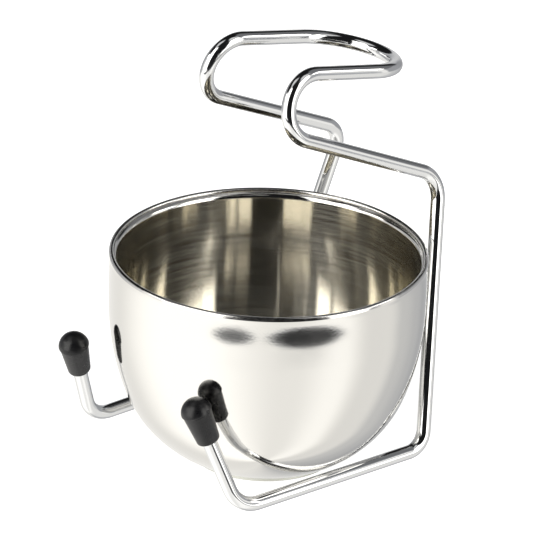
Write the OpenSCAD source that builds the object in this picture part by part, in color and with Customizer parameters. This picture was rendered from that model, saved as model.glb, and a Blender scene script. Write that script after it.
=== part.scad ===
// Double-walled shaving bowl standing in a bent-wire stand that hangs the brush above it.
// Millimetres, +Z up, table at z = 0, origin at the middle of the bowl's foot. The stand
// opens towards -Y; its mid-plane lies stand_x to the side of the bowl's axis.

/* [Bowl] */
// outer diameter of the bowl at the rim
bowl_d = 100; // [90:1:120]
// height of the rim above the table
bowl_h = 68.7; // [60:1:80]
// height at which the straight side starts to curve in
side_z = 52; // [44:1:56]
// radius of the long curve below the straight side
side_r = 86; // [70:1:110]
// angle the long curve turns through
side_a = 19.6; // [12:0.2:26]
// radius of the tighter curve that runs under to the base
belly_r = 38.5; // [32:0.5:45]
// thickness of each steel shell
sheet = 0.8; // [0.6:0.1:1.2]
// air gap between the two shells
gap = 1.2; // [1:0.1:4]
// width of the rolled lip
lip_w = 1.7; // [1.4:0.1:4]
// height of the plain sloping band under the lip
band_h = 2.2; // [1.5:0.1:6]

/* [Foot] */
// diameter of the foot
foot_d = 50; // [40:1:54]
// height of the foot
foot_h = 2.6; // [2:0.1:4]
// rounding of the foot's lower edge
foot_round = 0.6; // [0.2:0.1:1]

/* [Wire stand] */
// sideways place of the stand's mid-plane from the bowl's axis
stand_x = -6; // [-6.5:0.5:0]
// diameter of the wire
wire_d = 4.6; // [3.5:0.1:6]
// half distance between the runners at the front
run_front_x = 38.3; // [36:0.1:44]
// half distance between the runners at the back
run_back_x = 40.3; // [36:0.1:44]
// front end of the runners
run_front_y = -35.7; // [-45:0.1:-25]
// back end of the runners
run_back_y = 37.9; // [30:0.1:45]
// half distance between the uprights at the top
top_x = 23.9; // [20:0.1:30]
// how far back the uprights end
top_y = 53.8; // [45:0.1:60]
// height of the uprights
top_z = 87.2; // [80:0.1:100]
// half distance between the two brush prongs
prong_x = 18.15; // [15:0.05:22]
// slope of the rising arms, degrees
arm_slope = 23.9; // [20:0.1:30]
// slope of the prongs down towards the back, degrees
prong_slope = 10.7; // [5:0.1:15]
// length from the top of each upright to the virtual corner of the U-bend
arm_len = 147; // [130:0.5:160]
// length from that corner to the closed back of the fork
prong_len = 131; // [110:0.5:150]
// forward lean of the tips, mm per mm of height
tip_lean_y = 0.355; // [0.2:0.005:0.5]
// inward lean of the tips, mm per mm of height
tip_lean_x = 0.175; // [0:0.005:0.3]
// height of the cut wire ends
tip_z = 33.4; // [30:0.1:36]

/* [Wire bends] */
// bend radius where each tip turns up from its runner
bend_front = 11; // [8:0.5:14]
// bend radius where each upright turns up from its runner
bend_back = 6.8; // [5:0.1:10]
// bend radius at the top of each upright
bend_top = 10.1; // [7:0.1:14]
// bend radius of the U between each arm and its prong
bend_u = 10.4; // [8:0.1:13]

/* [Tip caps] */
// length of a cap
cap_len = 15.5; // [12:0.1:20]
// widest diameter, under the dome
cap_d = 9.8; // [8:0.1:12]
// diameter at the lower edge
cap_low_d = 7.4; // [6.4:0.1:9]
// height of the dome
cap_dome = 4.2; // [3:0.1:4.8]
// rounding of the lower edge
cap_round = 0.9; // [0.3:0.1:1.2]
// depth of the hole for the wire
cap_bore = 12; // [8:0.5:13]
// height of the lower edge of the left cap
cap_left_z = 23.0; // [20:0.1:26]
// height of the lower edge of the right cap
cap_right_z = 26.9; // [20:0.1:28]

/* [Hidden] */
$fn = 96;
eps = 0.01;
lap = 0.3;
wire_step = 0.02;

R = bowl_d / 2;
lip_r = lip_w / 2;
lip_z = bowl_h - lip_r;
inner_o = sheet + gap;
wr = wire_d / 2;

c1 = [R - side_r, side_z];
c2 = c1 + (side_r - belly_r) * [cos(side_a), -sin(side_a)];
split = c1 + (0 - c1[0]) / cos(side_a) * [cos(side_a), -sin(side_a)];

// the brush fork's closed back: its apex is where the two halves of the wire meet
arm_dir = [0, -cos(arm_slope), sin(arm_slope)];
prong_dir = [0, -cos(prong_slope), sin(prong_slope)];
u_corner = [prong_x, top_y - arm_len * cos(arm_slope), top_z + arm_len * sin(arm_slope)];
fork_back = u_corner - prong_len * prong_dir;
tip_drop = tip_z - wr;

// corners of the right half of the wire, from the middle of the fork to the front tip
P = [
    [0, fork_back[1], fork_back[2]],
    fork_back,
    u_corner,
    [top_x, top_y, top_z],
    [run_back_x, run_back_y, wr],
    [run_front_x, run_front_y, wr],
    [run_front_x - tip_lean_x * tip_drop, run_front_y - tip_lean_y * tip_drop, tip_z]
];
bends = [0, prong_x, bend_u, bend_top, bend_back, bend_front, 0];

function unit(v) = v / norm(v);
function dir(i) = unit(P[i + 1] - P[i]);
function turn(i) = acos(dir(i - 1) * dir(i));
function setback(i) = i == 0 || i == len(P) - 1 ? 0 : bends[i] * tan(turn(i) / 2);
function side(i) = unit(dir(i) - (dir(i - 1) * dir(i)) * dir(i - 1));
function side_after(i) = side(i) * cos(turn(i)) - dir(i - 1) * sin(turn(i));
function twist(i) = atan2(cross(side_after(i), side(i + 1)) * dir(i), side_after(i) * side(i + 1));
function run(i) = norm(P[i + 1] - P[i]) - setback(i) - setback(i + 1);

tip_dir = dir(5);

// places children with +Z along z and +X along x, the origin at p
module frame(p, x, z) {
    y = cross(z, x);
    multmatrix([
        [x[0], y[0], z[0], p[0]],
        [x[1], y[1], z[1], p[1]],
        [x[2], y[2], z[2], p[2]],
        [0, 0, 0, 1]
    ]) children();
}

// outline of the bowl, moved in by o; base is where its flat bottom lies
module bowl_outline(o, base) {
    intersection() {
        union() {
            translate([0, side_z]) square([R - o, bowl_h - side_z]);
            intersection() {
                translate(c1) circle(side_r - o);
                polygon([[0, side_z], [2 * R, side_z], c1 + 3 * side_r * [cos(side_a), -sin(side_a)], split]);
            }
            intersection() {
                translate(c2) circle(belly_r - o);
                polygon([split, c1 + 3 * side_r * [cos(side_a), -sin(side_a)], [2 * R, -R], [0, -R]]);
            }
        }
        translate([0, base]) square([R, bowl_h]);
    }
}

module outer_shell() {
    color([0.90, 0.90, 0.88])
    rotate_extrude() difference() {
        bowl_outline(0, foot_h);
        bowl_outline(sheet, foot_h + sheet);
        translate([0, lip_z]) square([R + 1, lip_w]);
    }
}

module inner_shell() {
    color([0.62, 0.60, 0.55])
    rotate_extrude() {
        difference() {
            bowl_outline(inner_o, foot_h + inner_o);
            bowl_outline(inner_o + sheet, foot_h + inner_o + sheet);
            translate([0, lip_z - band_h]) square([R + 1, 2 * band_h]);
        }
        polygon([
            [R - inner_o - sheet, lip_z - band_h], [R - inner_o, lip_z - band_h],
            [R - lip_w + sheet, lip_z], [R - lip_w, lip_z]
        ]);
        difference() {
            translate([R - lip_r, lip_z]) circle(lip_r);
            translate([R - sheet, lip_z - lip_w]) square([lip_w, lip_w]);
        }
    }
}

module foot() {
    color([0.85, 0.85, 0.83])
    rotate_extrude() {
        translate([0, foot_round]) square([foot_d / 2, foot_h - foot_round]);
        square([foot_d / 2 - foot_round, foot_h]);
        translate([foot_d / 2 - foot_round, foot_round]) circle(foot_round);
    }
}

// one bend of the wire in the XZ plane, starting at the origin along +Z and turning towards +X
module bend(r, a) {
    translate([r, 0, 0]) rotate([90, 0, 180])
        rotate_extrude(angle = a) translate([r, 0]) circle(wr);
}

// the wire from straight piece i on, then the bend at its end; a straight piece is a hair
// thinner than the bends and reaches a little way into them
module wire_from(i) {
    more = i < len(P) - 2;
    translate([0, 0, -lap]) cylinder(r = wr - wire_step, h = run(i) + (more ? 2 : 1) * lap);
    if (more) translate([0, 0, run(i)]) {
        bend(bends[i + 1], turn(i + 1));
        translate([bends[i + 1], 0, 0]) rotate([0, turn(i + 1), 0]) translate([-bends[i + 1], 0, 0])
            rotate([0, 0, i < len(P) - 3 ? twist(i + 1) : 0]) wire_from(i + 1);
    }
}

module wire_half() {
    frame(fork_back + prong_x * prong_dir, side(2), prong_dir) wire_from(1);
}

module fork_arc() {
    frame(P[0] + prong_x * prong_dir, [1, 0, 0], cross([1, 0, 0], -prong_dir))
        rotate_extrude(angle = 180) translate([prong_x, 0]) circle(wr);
}

module wire_stand() {
    color([0.80, 0.81, 0.82]) translate([stand_x, 0, 0]) {
        fork_arc();
        wire_half();
        mirror([1, 0, 0]) wire_half();
    }
}

// a rubber cap, its lower edge at the origin and the wire's axis along Z
module tip_cap() {
    dome_z = cap_len - cap_dome;
    dome_r = (cap_d * cap_d / 4 + cap_dome * cap_dome) / (2 * cap_dome);
    rotate_extrude() difference() {
        union() {
            polygon([
                [0, cap_round], [cap_low_d / 2, cap_round],
                [cap_d / 2, dome_z], [0, dome_z]
            ]);
            square([cap_low_d / 2 - cap_round, cap_round]);
            intersection() {
                translate([cap_low_d / 2 - cap_round, cap_round]) circle(cap_round);
                square([cap_d, cap_round]);
            }
            intersection() {
                translate([0, cap_len - dome_r]) circle(dome_r);
                translate([0, dome_z]) square([cap_d, cap_d]);
            }
        }
        translate([0, -eps]) square([wr + 0.02, cap_bore + eps]);
    }
}

module cap_at(z) {
    frame(P[6] + (z - tip_z) / tip_dir[2] * tip_dir, unit([tip_dir[2], 0, -tip_dir[0]]), tip_dir) tip_cap();
}

module tip_cap_left() {
    color([0.07, 0.07, 0.07]) translate([stand_x, 0, 0]) mirror([1, 0, 0]) cap_at(cap_left_z);
}

module tip_cap_right() {
    color([0.07, 0.07, 0.07]) translate([stand_x, 0, 0]) cap_at(cap_right_z);
}

outer_shell();
inner_shell();
foot();
wire_stand();
tip_cap_left();
tip_cap_right();
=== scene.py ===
"""Looks for the shaving bowl and its wire brush stand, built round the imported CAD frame.

The scene is in metres in the CAD frame: +Z up, table at z = 0, origin under the bowl's axis.
Lengths in the constants below are in millimetres, like the part's own driving dimensions.
"""
import math

import bpy
import numpy as np
from mathutils import Matrix, Vector


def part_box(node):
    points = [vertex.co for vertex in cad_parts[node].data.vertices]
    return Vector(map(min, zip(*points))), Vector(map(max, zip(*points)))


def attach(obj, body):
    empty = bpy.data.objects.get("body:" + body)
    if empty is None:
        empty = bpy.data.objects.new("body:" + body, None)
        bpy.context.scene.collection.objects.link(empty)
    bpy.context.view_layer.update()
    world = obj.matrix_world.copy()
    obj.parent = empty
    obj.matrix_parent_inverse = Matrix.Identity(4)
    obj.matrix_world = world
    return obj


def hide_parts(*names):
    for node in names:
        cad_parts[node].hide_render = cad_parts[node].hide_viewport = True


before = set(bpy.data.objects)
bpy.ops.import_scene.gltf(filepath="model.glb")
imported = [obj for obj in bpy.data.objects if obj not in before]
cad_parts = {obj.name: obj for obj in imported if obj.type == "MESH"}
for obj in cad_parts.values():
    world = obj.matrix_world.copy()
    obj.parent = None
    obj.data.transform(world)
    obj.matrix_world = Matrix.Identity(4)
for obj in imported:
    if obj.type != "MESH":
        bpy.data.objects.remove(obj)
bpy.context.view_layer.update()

MM = 0.001
TAU = 2 * math.pi
PLAY = 0.02  # mm, between pieces that are pushed or rolled over one another
BOWL_SIDES, CAP_SIDES, WIRE_SIDES = 256, 96, 40


def radius_of(node):
    low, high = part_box(node)
    return (high.x - low.x) / 2 / MM


# ---- the bowl, mm ----------------------------------------------------------------------
RIM_R = radius_of("outer_shell")
RIM_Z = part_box("inner_shell")[1].z / MM
FOOT_R = radius_of("foot")
FOOT_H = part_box("foot")[1].z / MM
FOOT_ROUND, FOOT_CHAMFER = 0.6, 0.15
SHEET, GAP = 0.8, 1.2  # each shell, and the air between them
SIDE_Z, SIDE_R, SIDE_A, BELLY_R = 52.0, 86.0, math.radians(19.6), 38.5
NECK_LO, NECK_HI, NECK_IN = 57.6, 66.0, 0.12  # the outer shell draws in a little under the lip
NECK_TOP, SHELL_TOP = 0.25, 0.06  # where draw-in and outer shell end, down from the bead's middle
SHELL_EDGE = 0.1  # how far in the outer shell's top edge starts
LIP_W, BAND_H, BAND_ROUND = 1.7, 2.2, 0.28  # rolled bead, the band under it and the band's bulge
BEAD_LOW = 0.3  # how far the bead's own finish reaches down from its middle
CREASE = ((0.1, 0.12), (0.12, 0.24), (0, 0.35))  # out and down from the bead's inner edge
HEM_H, HEM_SLOPE, HEM_IN = 0.8, 0.1, 0.05  # the bead's hidden underside, inside the outer shell
BAND_FOOT = ((0.01, 0.05), (0, 0.4))  # out and down from the band's lower edge
BAND_STEPS = np.linspace(0.04, 0.97, 12)

# ---- the wire stand and its caps, mm ---------------------------------------------------
WIRE_R = 2.3
STAND_X = -6.0
FORK_X, ARM_SLOPE, ARM_LEN = 18.15, math.radians(23.9), 147.0
FORK_FLAT = 0.01  # keeps the two bends of the fork's back just apart
PRONG_SLOPE, PRONG_LEN = math.radians(10.7), 131.0
TOP = (23.9, 53.8, 87.2)
RUN_BACK, RUN_FRONT = (40.3, 37.9), (38.3, -35.7)
TIP_Z, TIP_LEAN = 33.4, (0.175, 0.355)
BEND_FRONT, BEND_BACK, BEND_TOP, BEND_U = 11.0, 6.8, 10.1, 10.4
CAP_LEN, CAP_R, CAP_LOW_R, CAP_DOME, CAP_BORE = 15.5, 4.9, 3.7, 4.2, 12.0
CAP_Z = {"left": 23.0, "right": 26.9}
CAP_ROUND, CAP_MOUTH = 0.9, 0.2  # rounding of the lower edge, chamfer of the hole
SKIRT_IN, SKIRT_TOP = 0.3, 0.6  # the skirt ends this far inside and below the dome's edge
SKIRT_STEPS = (0.33, 0.66, 1)
DOME_START = 4  # degrees of the dome taken up by the rounding of its edge
# groove and overhang where the dome meets the skirt: in and up from the widest point
CAP_EDGE = ((-0.38, -0.45), (-0.36, -0.38), (-0.06, -0.26), (0, -0.12), (-0.02, 0.12))

# ---- camera ----------------------------------------------------------------------------
VIEW_AZ, VIEW_EL, VIEW_ROLL = math.radians(50.44), math.radians(24.53), math.radians(-1.91)
AIM, DISTANCE = Vector((-0.4, -0.5, 63.0)) * MM, 1119.9 * MM
LENS, SENSOR_WIDTH = 241.6, 36.0
CLIP = (0.05, 20)  # metres

# ---- materials: colours, and the least and most of what varies over a surface ----------
POLISHED, POLISHED_ROUGH = (0.73, 0.72, 0.695, 1), (0.045, 0.1)
BRUSHED_DARK, BRUSHED_LIGHT = (0.68, 0.655, 0.585, 1), (0.74, 0.715, 0.65, 1)
CLEAR_ROUGH, WIDE_ROUGH, WIDE_SHARE = (0.085, 0.11), (0.27, 0.36), (0.04, 0.12)
# the foot's colour is steel darkened with painted shade, for the shade that falls under the bowl
LIP, FOOT_SHADED, DULL_ROUGH = (0.74, 0.73, 0.71, 1), (0.54, 0.545, 0.5, 1), (0.12, 0.22)
CHROME, CHROME_ROUGH = (0.74, 0.745, 0.75, 1), (0.06, 0.12)
RUBBER_DARK, RUBBER_LIGHT = (0.005, 0.005, 0.006, 1), (0.014, 0.014, 0.015, 1)
RUBBER_ROUGH, RUBBER_SHEEN = (0.24, 0.36), 0.36
WHITE, PALE = (1, 1, 1, 1), (0.9, 0.9, 0.9, 1)

# ---- studio: azimuth from, to, elevation from, to, softness of each; then the light -----
# azimuth 0 is -Y and 90 is +X; left and right are as the camera sees them
ROOM = 0.013
ROOM_LIGHTS = (
    ((-158, -36, -30, 17, 7, 3), 0.7),  # the sweep rising behind the object
    ((180, 214, -30, 13, 8, 4), 0.38),  # its greyer end on the right
    ((146, 190, -30, 20, 9, 5), 0.42),  # grey wall on the right
    ((130, 198, 19, 66, 8, 4), 0.2),  # the wall's darker upper part
    ((190, 202, 16, 50, 2.5, 4), 0.04),  # dark gap beside it
    ((-44, -22, -30, 24, 4, 2), 1.2),  # reflector left of the left lamp
    ((-46, -24, 21.5, 28.5, 4, 1.5), 6.0),  # bright strip along its top
    ((-46, -22, 30, 46, 4, 2), 0.12),  # dim wall above that
    ((-24, 20, -30, 55, 4, 3), 3.2),  # left lamp
    ((-72, -16, 50, 78, 8, 4), 0.8),  # ceiling on the left
    ((92, 136, 50, 78, 8, 4), 0.8),  # ceiling on the right
    ((124, 150, -30, 38, 5, 3), 0.45),  # dim wall beside the right lamp
    ((134, 150, -30, 20, 4, 2), 1.1),  # reflector right of the right lamp
    ((130, 152, 21, 28.5, 4, 1.5), 6.0),  # bright strip along its top
    ((95, 124, -30, 44, 3, 3), 3.2),  # right lamp
)
TABLE = 1.1
TABLE_EDGE, TABLE_SOFT = -14, 2  # elevation of the table's far edge, and its softness
TABLE_LIGHTS = (
    ((-125, -60, -91, 10, 20, 1), 1.0),
    ((-60, 35, -91, 10, 30, 1), 1.5),
    ((88, 122, -91, 10, 16, 1), 1.32),
    ((122, 156, -91, 10, 12, 1), 0.96),
    ((156, 192, -91, 10, 10, 1), 0.72),
    ((184, 226, -91, 10, 18, 1), 0.5),
)
# over both: the dark room below the camera, and the shaded far edge of the table
OVER_ALL = (((34, 88, -20, 10, 3, 3), ROOM), ((-118, -64, -19, 13, 18, 4), 0.4))
# low dark shapes beyond the table's near edge: azimuth, half width, lowest elevation, light
NEAR_SHADOWS = ((27, 18, -24.3, 0.1), (80, 26, -25.2, 0.035))
SHADOW_RISE = 1.8  # how much their lower outline rises to either side
SHADOW_FOOT, SHADOW_TOP = (-0.5, 0.9), (-19, -16)  # where they fade in from below and out above
COOL, WARM = (0.95, 0.965, 1, 1), (1, 0.985, 0.95, 1)  # dim light is bluish, bright light is warm
WARMING = (0.3, 1.1)
FLOOR_SIZE, FLOOR_Z, FLOOR_GLOW = 3.0, -0.0002, 0.75  # metres; just under the table plane


# ---- meshes ----------------------------------------------------------------------------
def mesh_object(name, verts, faces, smooth_angle=35):
    """A smooth-shaded object whose edges sharper than smooth_angle stay sharp."""
    mesh = bpy.data.meshes.new(name)
    mesh.from_pydata([tuple(v) for v in verts], [], faces)
    mesh.validate()
    for p in mesh.polygons:
        p.use_smooth = True
    mesh.set_sharp_from_angle(angle=math.radians(smooth_angle))
    obj = bpy.data.objects.new(name, mesh)
    bpy.context.scene.collection.objects.link(obj)
    return obj


def arc(cx, cz, r, a0, a1, step=1.5):
    """Points of an arc in the (radius, height) plane, angles in degrees."""
    n = max(2, int(abs(a1 - a0) / step))
    return [
        (cx + r * math.cos(math.radians(a)), cz + r * math.sin(math.radians(a)))
        for a in np.linspace(a0, a1, n + 1)
    ]


def lathe(name, outline, sides=BOWL_SIDES, smooth_angle=35):
    """Turns a (radius, height) outline in mm, which starts and ends on the Z axis, about that axis."""
    verts, rings = [], []
    for r, z in outline:
        if r == 0:
            rings.append([len(verts)])
            verts.append((0, 0, z * MM))
        else:
            rings.append(list(range(len(verts), len(verts) + sides)))
            verts += [
                (r * MM * math.cos(TAU * k / sides), r * MM * math.sin(TAU * k / sides), z * MM)
                for k in range(sides)
            ]
    faces = []
    for a, b in zip(rings, rings[1:]):
        for k in range(sides):
            j = (k + 1) % sides
            if len(a) == 1:
                faces.append((a[0], b[j], b[k]))
            elif len(b) == 1:
                faces.append((a[k], a[j], b[0]))
            else:
                faces.append((a[k], a[j], b[j], b[k]))
    return mesh_object(name, verts, faces, smooth_angle)


def bowl_curve(o, base):
    """The bowl's outline moved in by o, from its flat bottom at height base up to the straight side."""
    c1 = (RIM_R - SIDE_R, SIDE_Z)
    shift = SIDE_R - BELLY_R
    c2 = (c1[0] + shift * math.cos(SIDE_A), c1[1] - shift * math.sin(SIDE_A))
    start = -math.degrees(math.asin((c2[1] - base) / (BELLY_R - o)))
    join = -math.degrees(SIDE_A)
    return arc(*c2, BELLY_R - o, start, join)[:-1] + arc(*c1, SIDE_R - o, join, 0, step=0.8)


def bulged(p, q, rise, steps):
    """Points from p to q on a curve that stands rise off the straight line, to the right, half way."""
    along = np.subtract(q, p)
    right = np.array((along[1], -along[0])) / np.linalg.norm(along)
    return [tuple(p + along * t + right * 4 * rise * t * (1 - t)) for t in steps]


def offset(point, steps):
    """The points that lie each (outward, down) step away from a point of an outline."""
    return [(point[0] + out, point[1] - down) for out, down in steps]


def sweep(name, path, radius, sides):
    """A round tube along a path, carried without twist, with flat ends."""
    path = np.array(path, float)
    tangents = np.gradient(path, axis=0)
    tangents[0], tangents[-1] = path[1] - path[0], path[-1] - path[-2]
    tangents /= np.linalg.norm(tangents, axis=1)[:, None]
    spoke = np.cross(tangents[0], (0, 0, 1.0))
    spoke /= np.linalg.norm(spoke)
    verts = []
    for point, tangent in zip(path, tangents):
        spoke = spoke - tangent * (spoke @ tangent)
        spoke /= np.linalg.norm(spoke)
        across = np.cross(tangent, spoke)
        for k in range(sides):
            a = TAU * k / sides
            verts.append((point + radius * (math.cos(a) * spoke + math.sin(a) * across)) * MM)
    rings = len(path)
    faces = [
        (i * sides + k, i * sides + (k + 1) % sides, (i + 1) * sides + (k + 1) % sides, (i + 1) * sides + k)
        for i in range(rings - 1)
        for k in range(sides)
    ]
    faces.append(tuple(range(sides))[::-1])
    faces.append(tuple((rings - 1) * sides + k for k in range(sides)))
    return mesh_object(name, verts, faces, smooth_angle=40)


def filleted(corners, radii, step=math.radians(3), longest=3):
    """The path through corners with each inner corner rounded to its radius, in short pieces."""
    coarse = [corners[0]]
    for before, corner, after, radius in zip(corners, corners[1:], corners[2:], radii):
        back = (before - corner) / np.linalg.norm(before - corner)
        ahead = (after - corner) / np.linalg.norm(after - corner)
        half = math.acos(float(back @ ahead)) / 2
        inward = (back + ahead) / np.linalg.norm(back + ahead)
        centre = corner + inward * radius / math.sin(half)
        start = corner + back * radius / math.tan(half) - centre
        end = corner + ahead * radius / math.tan(half) - centre
        turn = math.pi - 2 * half
        pieces = max(3, int(turn / step))
        for k in range(pieces + 1):
            part = k / pieces
            spoke = math.sin((1 - part) * turn) * start + math.sin(part * turn) * end
            coarse.append(centre + spoke / math.sin(turn))
    coarse.append(corners[-1])
    fine = [coarse[0]]
    for p, q in zip(coarse, coarse[1:]):
        pieces = max(1, int(np.linalg.norm(q - p) / longest))
        fine += [p + (q - p) * k / pieces for k in range(1, pieces + 1)]
    return fine


# ---- node materials --------------------------------------------------------------------
class Nodes:
    """Small helper for building node trees."""

    def __init__(self, tree):
        self.tree = tree

    def add(self, kind, **values):
        node = self.tree.nodes.new(kind)
        for key, value in values.items():
            setattr(node, key, value)
        return node

    def put(self, socket, value):
        if hasattr(value, "is_output"):
            self.tree.links.new(value, socket)
        else:
            socket.default_value = value

    def math(self, op, a, b=0.0, c=0.0):
        node = self.add("ShaderNodeMath", operation=op)
        for socket, value in zip(node.inputs, (a, b, c)):
            self.put(socket, value)
        return node.outputs[0]

    def step(self, v, lo, hi, out_lo=0.0, out_hi=1.0):
        """Smooth step of v from out_lo at lo to out_hi at hi."""
        node = self.add("ShaderNodeMapRange", interpolation_type="SMOOTHSTEP")
        for key, value in zip(
            ("Value", "From Min", "From Max", "To Min", "To Max"), (v, lo, hi, out_lo, out_hi)
        ):
            self.put(node.inputs[key], value)
        return node.outputs["Result"]

    def window(self, v, lo, hi, soft):
        """One where v lies between lo and hi, zero outside, with soft edges."""
        rise = self.step(v, lo - soft, lo + soft)
        fall = self.step(v, hi - soft, hi + soft, 1.0, 0.0)
        return self.math("MULTIPLY", rise, fall)

    def cover(self, base, fac, value):
        """The number base with value laid over it where fac is one."""
        kept = self.math("MULTIPLY", base, self.math("SUBTRACT", 1.0, fac))
        return self.math("ADD", kept, self.math("MULTIPLY", fac, value))

    def mix(self, fac, a, b):
        node = self.add("ShaderNodeMix", data_type="RGBA")
        self.put(node.inputs[0], fac)
        self.put(node.inputs[6], a)
        self.put(node.inputs[7], b)
        return node.outputs[2]

    def noise(self, vector, scale, detail, rough=0.5):
        node = self.add("ShaderNodeTexNoise")
        self.put(node.inputs["Vector"], vector)
        node.inputs["Scale"].default_value = scale
        node.inputs["Detail"].default_value = detail
        node.inputs["Roughness"].default_value = rough
        return node.outputs["Fac"]


def material(name, **values):
    """A node material, its node helper and its main shader with the given input values."""
    mat = bpy.data.materials.new(name)
    mat.use_nodes = True
    bsdf = mat.node_tree.nodes["Principled BSDF"]
    for key, value in values.items():
        bsdf.inputs[key.replace("_", " ")].default_value = value
    return mat, Nodes(mat.node_tree), bsdf


def object_position(nodes):
    return nodes.add("ShaderNodeTexCoord").outputs["Object"]


def cylinder_coords(nodes, around, up):
    """Coordinates that change slowly round the bowl and fast up its wall, for marks that run round it."""
    sep = nodes.add("ShaderNodeSeparateXYZ")
    nodes.put(sep.inputs[0], object_position(nodes))
    x, y, z = sep.outputs
    square = nodes.math("ADD", nodes.math("MULTIPLY", x, x), nodes.math("MULTIPLY", y, y))
    radius = nodes.math("SQRT", square)
    climb = nodes.math("ADD", z, nodes.math("MULTIPLY", radius, 0.5))
    comb = nodes.add("ShaderNodeCombineXYZ")
    nodes.put(comb.inputs[0], nodes.math("MULTIPLY", nodes.math("DIVIDE", x, radius), around))
    nodes.put(comb.inputs[1], nodes.math("MULTIPLY", nodes.math("DIVIDE", y, radius), around))
    nodes.put(comb.inputs[2], nodes.math("MULTIPLY", climb, up))
    return comb.outputs[0]


def bump(nodes, bsdf, height, strength, distance):
    node = nodes.add("ShaderNodeBump")
    node.inputs["Strength"].default_value = strength
    node.inputs["Distance"].default_value = distance
    nodes.put(node.inputs["Height"], height)
    nodes.put(bsdf.inputs["Normal"], node.outputs[0])


def polished_steel():
    """Mirror steel with the faint haze and hairlines that polishing leaves round the bowl."""
    mat, nodes, bsdf = material("polished_steel", Base_Color=POLISHED, Metallic=1.0)
    pos = object_position(nodes)
    haze = nodes.noise(pos, scale=60.0, detail=4.0)
    round_bowl = cylinder_coords(nodes, around=0.5, up=420.0)
    hairline = nodes.noise(round_bowl, scale=5.0, detail=5.0, rough=0.7)
    nodes.put(bsdf.inputs["Roughness"], nodes.step(haze, 0.3, 0.75, *POLISHED_ROUGH))
    speck = nodes.noise(pos, scale=1300.0, detail=2.0)
    mottle = nodes.math("ADD", nodes.math("MULTIPLY", hairline, 0.35), speck)
    bump(nodes, bsdf, mottle, strength=0.035, distance=0.00008)
    return mat


def brushed_steel():
    """Satin steel: fine lines run round the bowl, so highlights are smeared up and down the wall.

    A clear lobe keeps the reflections readable and a wide one, in the deeper lines, gives the sheen.
    """
    mat, nodes, clear = material("brushed_steel")
    wide = nodes.add("ShaderNodeBsdfPrincipled")
    tangent = nodes.add("ShaderNodeTangent", direction_type="RADIAL", axis="Z")
    round_bowl = cylinder_coords(nodes, around=0.3, up=300.0)
    lines = nodes.noise(round_bowl, scale=5.0, detail=1.6, rough=0.8)
    tint = nodes.mix(nodes.step(lines, 0.3, 0.7), BRUSHED_DARK, BRUSHED_LIGHT)
    for bsdf, rough in ((clear, CLEAR_ROUGH), (wide, WIDE_ROUGH)):
        nodes.put(bsdf.inputs["Base Color"], tint)
        nodes.put(bsdf.inputs["Tangent"], tangent.outputs[0])
        nodes.put(bsdf.inputs["Roughness"], nodes.step(lines, 0.3, 0.7, *rough))
        bsdf.inputs["Metallic"].default_value = 1.0
        bsdf.inputs["Anisotropic"].default_value = 1.0
        bsdf.inputs["Anisotropic Rotation"].default_value = 0.25
    mix = nodes.add("ShaderNodeMixShader")
    nodes.put(mix.inputs[0], nodes.step(lines, 0.36, 0.66, *WIDE_SHARE))
    nodes.put(mix.inputs[1], clear.outputs[0])
    nodes.put(mix.inputs[2], wide.outputs[0])
    nodes.put(mat.node_tree.nodes["Material Output"].inputs["Surface"], mix.outputs[0])
    return mat


def dull_steel(name, colour):
    """Buffed edges, the lip's bead and the foot: duller and more uneven than the walls."""
    mat, nodes, bsdf = material(name, Base_Color=colour, Metallic=1.0)
    mottle = nodes.noise(object_position(nodes), scale=900.0, detail=2.0)
    nodes.put(bsdf.inputs["Roughness"], nodes.step(mottle, 0.3, 0.7, *DULL_ROUGH))
    return mat


def chrome():
    """Bright chrome over drawn wire, with a slight waviness and patches of haze."""
    mat, nodes, bsdf = material("chrome_wire", Base_Color=CHROME, Metallic=1.0)
    pos = object_position(nodes)
    haze = nodes.noise(pos, scale=140.0, detail=3.0)
    nodes.put(bsdf.inputs["Roughness"], nodes.step(haze, 0.35, 0.75, *CHROME_ROUGH))
    wave = nodes.noise(pos, scale=900.0, detail=2.0)
    bump(nodes, bsdf, wave, strength=0.015, distance=0.0001)
    return mat


def black_rubber():
    """Moulded rubber with a fine grain and uneven patches of sheen."""
    mat, nodes, bsdf = material("black_rubber", Specular_IOR_Level=RUBBER_SHEEN)
    pos = object_position(nodes)
    grain = nodes.noise(pos, scale=2200.0, detail=3.0)
    blotch = nodes.noise(pos, scale=260.0, detail=3.0)
    tint = nodes.mix(nodes.step(blotch, 0.35, 0.8), RUBBER_DARK, RUBBER_LIGHT)
    nodes.put(bsdf.inputs["Base Color"], tint)
    nodes.put(bsdf.inputs["Roughness"], nodes.step(blotch, 0.3, 0.7, *RUBBER_ROUGH))
    bump(nodes, bsdf, grain, strength=0.3, distance=0.00006)
    return mat


def dress(obj, mats, body, node):
    """Gives a piece its materials, hangs it under its body and hides the CAD node it stands for."""
    for mat in mats:
        obj.data.materials.append(mat)
    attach(obj, body)
    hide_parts(node)


# ---- the bowl --------------------------------------------------------------------------
lip_r = LIP_W / 2
lip_z = RIM_Z - lip_r


def neck():
    """The outer shell's side under the lip, in to its narrowest and out again to the bead."""
    narrowing = [(0.5 - 0.5 * math.cos(math.pi * t), t) for t in np.linspace(0, 1, 25)]
    widening = [(0.5 + 0.5 * math.cos(math.pi * t), t) for t in np.linspace(0.15, 1, 12)]
    top = lip_z - NECK_TOP
    return (
        [(RIM_R - NECK_IN * pull, NECK_LO + (NECK_HI - NECK_LO) * t) for pull, t in narrowing]
        + [(RIM_R - NECK_IN * pull, NECK_HI + (top - NECK_HI) * t) for pull, t in widening]
    )


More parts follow.
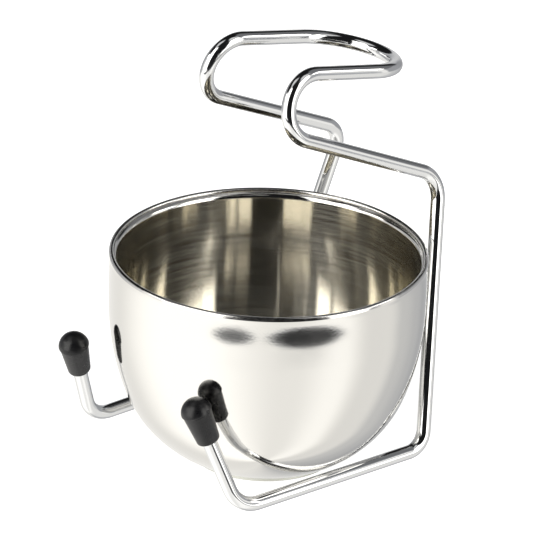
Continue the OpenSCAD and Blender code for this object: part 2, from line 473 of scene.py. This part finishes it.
def outer_shell(polished):
    edge_z = lip_z - SHELL_TOP
    outline = (
        [(0, FOOT_H)]
        + bowl_curve(0, FOOT_H)
        + neck()
        + [(RIM_R - SHELL_EDGE, edge_z), (RIM_R - SHEET, edge_z)]
        + bowl_curve(SHEET, FOOT_H + SHEET)[::-1]
        + [(0, FOOT_H + SHEET)]
    )
    dress(lathe("bowl_outer_shell", outline), [polished], "bowl", "outer_shell")


def inner_shell(polished):
    """The liner: brushed wall, polished sloping band and the bead rolled over the outer shell."""
    inset = SHEET + GAP
    floor_z = FOOT_H + inset
    wall_r = RIM_R - inset - SHEET
    seat_r = RIM_R - SHEET - PLAY
    bead_in = (RIM_R - LIP_W, lip_z)
    crease = offset(bead_in, CREASE)
    band_low = (wall_r, lip_z - BAND_H)
    outline = (
        [(0, floor_z)]
        + bowl_curve(inset, floor_z)
        + [(RIM_R - inset, lip_z - BAND_H), (bead_in[0] + SHEET - HEM_IN, lip_z - HEM_H - HEM_SLOPE)]
        + [(seat_r, lip_z - HEM_H), (seat_r, lip_z + PLAY)]
        + arc(RIM_R - lip_r, lip_z, lip_r, 1, 178, step=6)
        + crease
        + bulged(crease[-1], band_low, BAND_ROUND, BAND_STEPS)
        + offset(band_low, BAND_FOOT)
        + bowl_curve(inset + SHEET, floor_z + SHEET)[::-1]
        + [(0, floor_z + SHEET)]
    )
    obj = lathe("bowl_inner_shell", outline)
    bead = dull_steel("lip_steel", LIP)
    dress(obj, [brushed_steel(), polished, bead], "bowl", "inner_shell")
    for face in obj.data.polygons:
        if face.center.z > (lip_z - BEAD_LOW) * MM:
            face.material_index = 2
        elif face.center.z > band_low[1] * MM:
            face.material_index = 1


def foot():
    outline = (
        [(0, 0)]
        + arc(FOOT_R - FOOT_ROUND, FOOT_ROUND, FOOT_ROUND, -90, 0, step=15)
        + [(FOOT_R, FOOT_H - FOOT_CHAMFER), (FOOT_R - FOOT_CHAMFER, FOOT_H), (0, FOOT_H)]
    )
    # the foot's darker colour is painted shade, standing in for the shade under the bowl
    buffed = dull_steel("foot_steel_shaded", FOOT_SHADED)
    dress(lathe("bowl_foot", outline), [buffed], "bowl", "foot")


# ---- the wire stand --------------------------------------------------------------------
drop = TIP_Z - WIRE_R
tip = np.array([RUN_FRONT[0] - TIP_LEAN[0] * drop, RUN_FRONT[1] - TIP_LEAN[1] * drop, TIP_Z])
front = np.array([*RUN_FRONT, WIRE_R])


def stand_wire():
    """One wire from tip to tip: its right half's corners, and the same mirrored for the left."""
    arm = np.array([0, -math.cos(ARM_SLOPE), math.sin(ARM_SLOPE)])
    prong = np.array([0, -math.cos(PRONG_SLOPE), math.sin(PRONG_SLOPE)])
    u_corner = np.array([FORK_X, TOP[1], TOP[2]]) + ARM_LEN * arm
    fork_back = u_corner - PRONG_LEN * prong
    half = [fork_back, u_corner, np.array(TOP), np.array([*RUN_BACK, WIRE_R]), front, tip]
    radii = [FORK_X - FORK_FLAT, BEND_U, BEND_TOP, BEND_BACK, BEND_FRONT]
    corners = [c * [-1, 1, 1] for c in half[::-1]] + half
    path = [p + [STAND_X, 0, 0] for p in filleted(corners, radii[::-1] + radii)]
    dress(sweep("stand_wire", path, WIRE_R, WIRE_SIDES), [chrome()], "stand", "wire_stand")


# ---- the rubber caps -------------------------------------------------------------------
def rubber_cap(side, rubber):
    """A cap stood on the origin, then leant and set at its height on the wire's tip."""
    dome_z = CAP_LEN - CAP_DOME
    dome_r = (CAP_R**2 + CAP_DOME**2) / (2 * CAP_DOME)
    edge_a = math.degrees(math.asin((dome_z - CAP_LEN + dome_r) / dome_r))
    bore_r = WIRE_R + PLAY
    skirt = (CAP_R - SKIRT_IN - CAP_LOW_R, dome_z - SKIRT_TOP - CAP_ROUND)
    outline = (
        [(0, CAP_BORE), (bore_r, CAP_BORE), (bore_r, CAP_MOUTH), (bore_r + CAP_MOUTH, 0)]
        + arc(CAP_LOW_R - CAP_ROUND, CAP_ROUND, CAP_ROUND, -90, 0, step=12)
        + [(CAP_LOW_R + skirt[0] * t, CAP_ROUND + skirt[1] * t) for t in SKIRT_STEPS]
        + [(CAP_R + inward, dome_z + up) for inward, up in CAP_EDGE]
        + arc(0, CAP_LEN - dome_r, dome_r, edge_a + DOME_START, 90, step=4)[:-1]
        + [(0, CAP_LEN)]
    )
    obj = lathe(f"rubber_cap_{side}", outline, CAP_SIDES, smooth_angle=30)
    sign = 1 if side == "right" else -1
    along = (tip - front) / np.linalg.norm(tip - front)
    seat = tip + along * (CAP_Z[side] - TIP_Z) / along[2]
    z = Vector(along * [sign, 1, 1])
    x = Vector((z.z, 0, -z.x)).normalized()
    place = Matrix((x, z.cross(x), z)).transposed().to_4x4()
    place.translation = Vector((seat * [sign, 1, 1] + [STAND_X, 0, 0]) * MM)
    obj.data.transform(place)
    dress(obj, [rubber], "stand", f"tip_cap_{side}")


# ---- studio ----------------------------------------------------------------------------
def floor_object():
    """A pale floor that keeps only a faint shadow; mirrors look through it at the studio's own sweep."""
    corners = [(FLOOR_SIZE * x, FLOOR_SIZE * y, FLOOR_Z) for x, y in ((-1, -1), (1, -1), (1, 1), (-1, 1))]
    obj = mesh_object("floor", corners, [(0, 1, 2, 3)])
    glow = {"Emission_Color": WHITE, "Emission_Strength": FLOOR_GLOW}
    mat, nodes, bsdf = material("floor", Base_Color=PALE, Roughness=0.9, **glow)
    clear = nodes.add("ShaderNodeBsdfTransparent")
    mix = nodes.add("ShaderNodeMixShader")
    nodes.put(mix.inputs[0], nodes.add("ShaderNodeLightPath").outputs["Is Glossy Ray"])
    nodes.put(mix.inputs[1], bsdf.outputs[0])
    nodes.put(mix.inputs[2], clear.outputs[0])
    nodes.put(mat.node_tree.nodes["Material Output"].inputs["Surface"], mix.outputs[0])
    obj.data.materials.append(mat)


def studio_world():
    """White table below, two tall lamps either side of the camera, a dark room elsewhere."""
    world = bpy.data.worlds.new("studio")
    bpy.context.scene.world = world
    world.use_nodes = True
    nodes = Nodes(world.node_tree)
    background = world.node_tree.nodes["Background"]
    sep = nodes.add("ShaderNodeSeparateXYZ")
    nodes.put(sep.inputs[0], nodes.add("ShaderNodeTexCoord").outputs["Generated"])
    x, y, z = sep.outputs
    degrees = math.degrees(1)
    elevation = nodes.math("MULTIPLY", nodes.math("ARCSINE", z), degrees)
    from_front = nodes.math("ARCTAN2", x, nodes.math("MULTIPLY", y, -1.0))
    azimuth = nodes.math("MULTIPLY", from_front, degrees)

    def patch(left, right, low, high, soft_side, soft_top):
        """One inside a patch of the surroundings, zero outside."""
        half = (right - left) / 2
        off = nodes.math("WRAP", nodes.math("SUBTRACT", azimuth, (left + right) / 2), 180.0, -180.0)
        side = nodes.step(nodes.math("ABSOLUTE", off), half - soft_side, half + soft_side, 1.0, 0.0)
        return nodes.math("MULTIPLY", side, nodes.window(elevation, low, high, soft_top))

    def painted(level, lights):
        for shape, value in lights:
            level = nodes.cover(level, patch(*shape), value)
        return level

    below = nodes.step(elevation, TABLE_EDGE - TABLE_SOFT, TABLE_EDGE + TABLE_SOFT, 1.0, 0.0)
    level = nodes.cover(painted(ROOM, ROOM_LIGHTS), below, painted(TABLE, TABLE_LIGHTS))
    level = painted(level, OVER_ALL)
    for centre, half, low, value in NEAR_SHADOWS:
        off = nodes.math("DIVIDE", nodes.math("SUBTRACT", azimuth, centre), half)
        bow = nodes.math("MULTIPLY", nodes.math("POWER", nodes.math("ABSOLUTE", off), 2.0), SHADOW_RISE)
        above = nodes.math("SUBTRACT", elevation, nodes.math("ADD", bow, low))
        top = nodes.step(elevation, *SHADOW_TOP, 1.0, 0.0)
        level = nodes.cover(level, nodes.math("MULTIPLY", nodes.step(above, *SHADOW_FOOT), top), value)
    camera = nodes.add("ShaderNodeLightPath").outputs["Is Camera Ray"]
    tint = nodes.mix(nodes.step(level, *WARMING), COOL, WARM)
    # the camera itself sees plain white
    nodes.put(background.inputs["Color"], nodes.mix(camera, tint, WHITE))
    nodes.put(background.inputs["Strength"], nodes.cover(level, camera, 1.0))


def view_camera():
    """A long lens, tilted a little, that looks down on the bowl from its front right."""
    flat = math.cos(VIEW_EL)
    back = Vector((math.sin(VIEW_AZ) * flat, -math.cos(VIEW_AZ) * flat, math.sin(VIEW_EL)))
    right = Vector((math.cos(VIEW_AZ), math.sin(VIEW_AZ), 0))
    up = back.cross(right)
    rolled_right = math.cos(VIEW_ROLL) * right - math.sin(VIEW_ROLL) * up
    rolled_up = math.sin(VIEW_ROLL) * right + math.cos(VIEW_ROLL) * up
    camera = bpy.data.objects.new("camera", bpy.data.cameras.new("camera"))
    bpy.context.scene.collection.objects.link(camera)
    place = Matrix((rolled_right, rolled_up, back)).transposed().to_4x4()
    place.translation = AIM + back * DISTANCE
    camera.matrix_world = place
    camera.data.sensor_width, camera.data.lens = SENSOR_WIDTH, LENS
    camera.data.clip_start, camera.data.clip_end = CLIP
    bpy.context.scene.camera = camera


# ---- the scene -------------------------------------------------------------------------
polished = polished_steel()
outer_shell(polished)
inner_shell(polished)
foot()
stand_wire()
cap_rubber = black_rubber()
for side in CAP_Z:
    rubber_cap(side, cap_rubber)
floor_object()
studio_world()
view_camera()
bpy.context.scene.view_settings.view_transform = "Standard"
bpy.context.scene.cycles.glossy_bounces = 8
